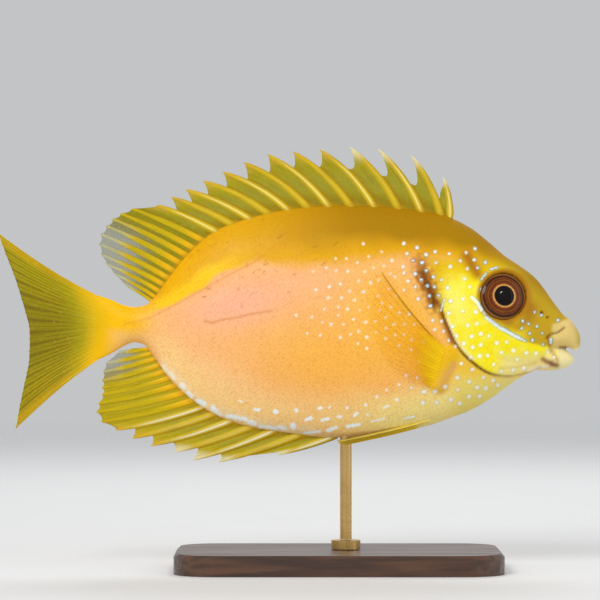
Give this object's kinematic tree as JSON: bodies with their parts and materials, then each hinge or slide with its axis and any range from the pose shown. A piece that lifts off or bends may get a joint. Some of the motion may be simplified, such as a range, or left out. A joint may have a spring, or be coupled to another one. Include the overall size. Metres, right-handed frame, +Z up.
{
  "type": "bluespotted rabbitfish model",
  "caption": "Life-size bluespotted rabbitfish with raised fins on a rod and a flat display base.",
  "frame": {"origin": "middle of the fish's total length and of its thickness, on the underside of the stand's base", "axes": "+X from tail to snout, +Y to the fish's left, +Z up"},
  "size_m": [0.2, 0.064, 0.1452],
  "materials": {
    "skin": "satin",
    "eye": "gloss",
    "fin": "satin",
    "web": "satin",
    "wood": "satin",
    "brass": "satin"
  },
  "bodies": {
    "root": {"head": "skin", "torso": "skin", "tail": "skin", "upper_jaw": "skin", "lower_jaw": "skin", "gill_cover_right": "skin", "gill_cover_left": "skin", "eye_right": "eye", "eye_left": "eye", "dorsal_fin_spiny": "fin", "dorsal_fin_soft": "web", "anal_fin_spiny": "fin", "anal_fin_soft": "web", "caudal_fin_upper": "fin", "caudal_fin_lower": "fin", "pectoral_fin_right": "web", "pectoral_fin_left": "web", "pelvic_fin_right": "fin", "pelvic_fin_left": "fin", "stand_base": "wood", "stand_collar": "brass", "stand_rod": "brass"}
  },
  "joints": []
}
